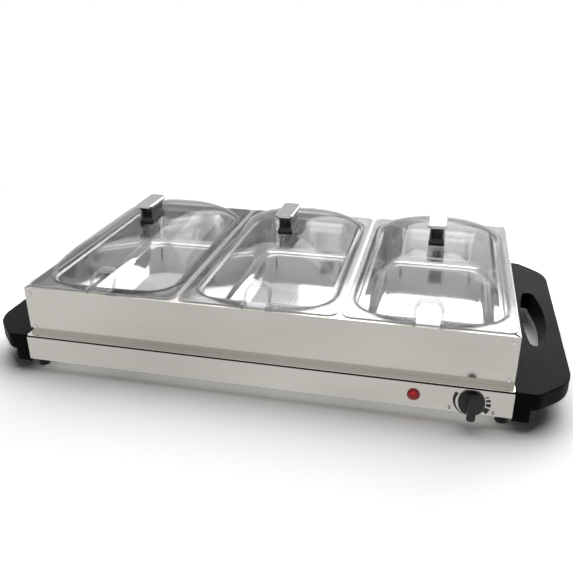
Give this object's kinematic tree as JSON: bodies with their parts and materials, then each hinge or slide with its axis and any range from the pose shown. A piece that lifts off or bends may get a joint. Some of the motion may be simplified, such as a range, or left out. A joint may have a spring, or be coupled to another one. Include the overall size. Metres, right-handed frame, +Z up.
{
  "type": "electric food warmer tray",
  "caption": "Electric buffet warmer: a long heated steel base with a control knob and end handles, carrying a frame of lift-out pans under clear domed lids.",
  "frame": {"origin": "on the surface the tray stands on, at the middle of its overall box in plan", "axes": "+X along the tray towards the knob end, +Y from the front panel to the back, +Z up"},
  "size_m": [0.6806, 0.379, 0.1647],
  "materials": {
    "base_steel": "brushed stainless sheet, satin",
    "frame_steel": "brushed stainless sheet, satin",
    "plate_steel": "stainless sheet, finely brushed",
    "pan_steel": "pressed stainless, bright",
    "cover_steel": "galvanised sheet",
    "screw_steel": "zinc plated",
    "rivet_steel": "bright drawn",
    "grip_plate_steel": "brushed top with a polished bevel",
    "handle_plastic": "fine moulded texture",
    "knob_plastic": "satin",
    "grip_plastic": "polished",
    "lid_plastic": "clear, polished",
    "lens_plastic": "clear red",
    "rubber": "plain",
    "gasket_rubber": "plain",
    "spreader_aluminium": "mill finish",
    "element_sheath": "dull",
    "ceramic_white": "unglazed",
    "mineral_wool": "soft board",
    "wire_jacket": "woven glass sleeve",
    "block_plastic": "moulded",
    "lamp_glass": "clear"
  },
  "bodies": {
    "base": {"base_end_plate_left": "base_steel", "base_end_plate_right": "base_steel", "base_front_panel": "base_steel", "base_rear_panel": "base_steel", "bottom_cover": "cover_steel", "bottom_cover_screws": "screw_steel", "element_clamp_bars": "cover_steel", "element_clamp_nuts": "screw_steel", "element_clamp_studs": "screw_steel", "element_terminals": "ceramic_white", "foot_screws": "screw_steel", "handle_left": "handle_plastic", "handle_right": "handle_plastic", "handle_screws": "screw_steel", "heat_spreader": "spreader_aluminium", "heating_element": "element_sheath", "hot_plate": "plate_steel", "indicator_holder": "block_plastic", "indicator_lens": "lens_plastic", "insulation_pad": "mineral_wool", "mains_gland": "knob_plastic", "neon_lamp": "lamp_glass", "plate_gasket": "gasket_rubber", "rubber_feet": "rubber", "terminal_block": "block_plastic", "thermal_cutoff": "screw_steel", "thermal_cutoff_clip": "cover_steel", "thermostat": "block_plastic", "thermostat_nut": "screw_steel", "wiring": "wire_jacket"},
    "knob": {"control_knob": "knob_plastic", "thermostat_shaft": "screw_steel"},
    "pan_frame": {"frame_crossbar_left": "frame_steel", "frame_crossbar_right": "frame_steel", "frame_front_panel": "frame_steel", "frame_rear_panel": "frame_steel", "frame_rivets": "rivet_steel", "frame_side_panel_left": "frame_steel", "frame_side_panel_right": "frame_steel"},
    "pan_body_left": {"pan_left": "pan_steel"},
    "lid_body_left": {"lid_left": "lid_plastic", "lid_grip_left": "grip_plastic", "lid_grip_plate_left": "grip_plate_steel", "lid_grip_screw_left": "screw_steel"},
    "pan_body_middle": {"pan_middle": "pan_steel"},
    "lid_body_middle": {"lid_middle": "lid_plastic", "lid_grip_middle": "grip_plastic", "lid_grip_plate_middle": "grip_plate_steel", "lid_grip_screw_middle": "screw_steel"},
    "pan_body_right": {"pan_right": "pan_steel"},
    "lid_body_right": {"lid_right": "lid_plastic", "lid_grip_right": "grip_plastic", "lid_grip_plate_right": "grip_plate_steel", "lid_grip_screw_right": "screw_steel"}
  },
  "joints": [
    {"name": "knob_turn", "type": "hinge", "parent": "base", "child": "knob", "pos_m": [0.2386, -0.1715, 0.0265], "axis": [0, 1, 0], "range_deg": [0, 270]},
    {"name": "frame_lift", "type": "slide", "parent": "base", "child": "pan_frame", "axis": [0, 0, 1], "range_m": [0, 0.12]},
    {"name": "pan_lift_left", "type": "slide", "parent": "pan_frame", "child": "pan_body_left", "axis": [0, 0, 1], "range_m": [0, 0.1]},
    {"name": "lid_lift_left", "type": "slide", "parent": "pan_body_left", "child": "lid_body_left", "axis": [0, 0, 1], "range_m": [0, 0.08]},
    {"name": "pan_lift_middle", "type": "slide", "parent": "pan_frame", "child": "pan_body_middle", "axis": [0, 0, 1], "range_m": [0, 0.1]},
    {"name": "lid_lift_middle", "type": "slide", "parent": "pan_body_middle", "child": "lid_body_middle", "axis": [0, 0, 1], "range_m": [0, 0.08]},
    {"name": "pan_lift_right", "type": "slide", "parent": "pan_frame", "child": "pan_body_right", "axis": [0, 0, 1], "range_m": [0, 0.1]},
    {"name": "lid_lift_right", "type": "slide", "parent": "pan_body_right", "child": "lid_body_right", "axis": [0, 0, 1], "range_m": [0, 0.08]}
  ]
}
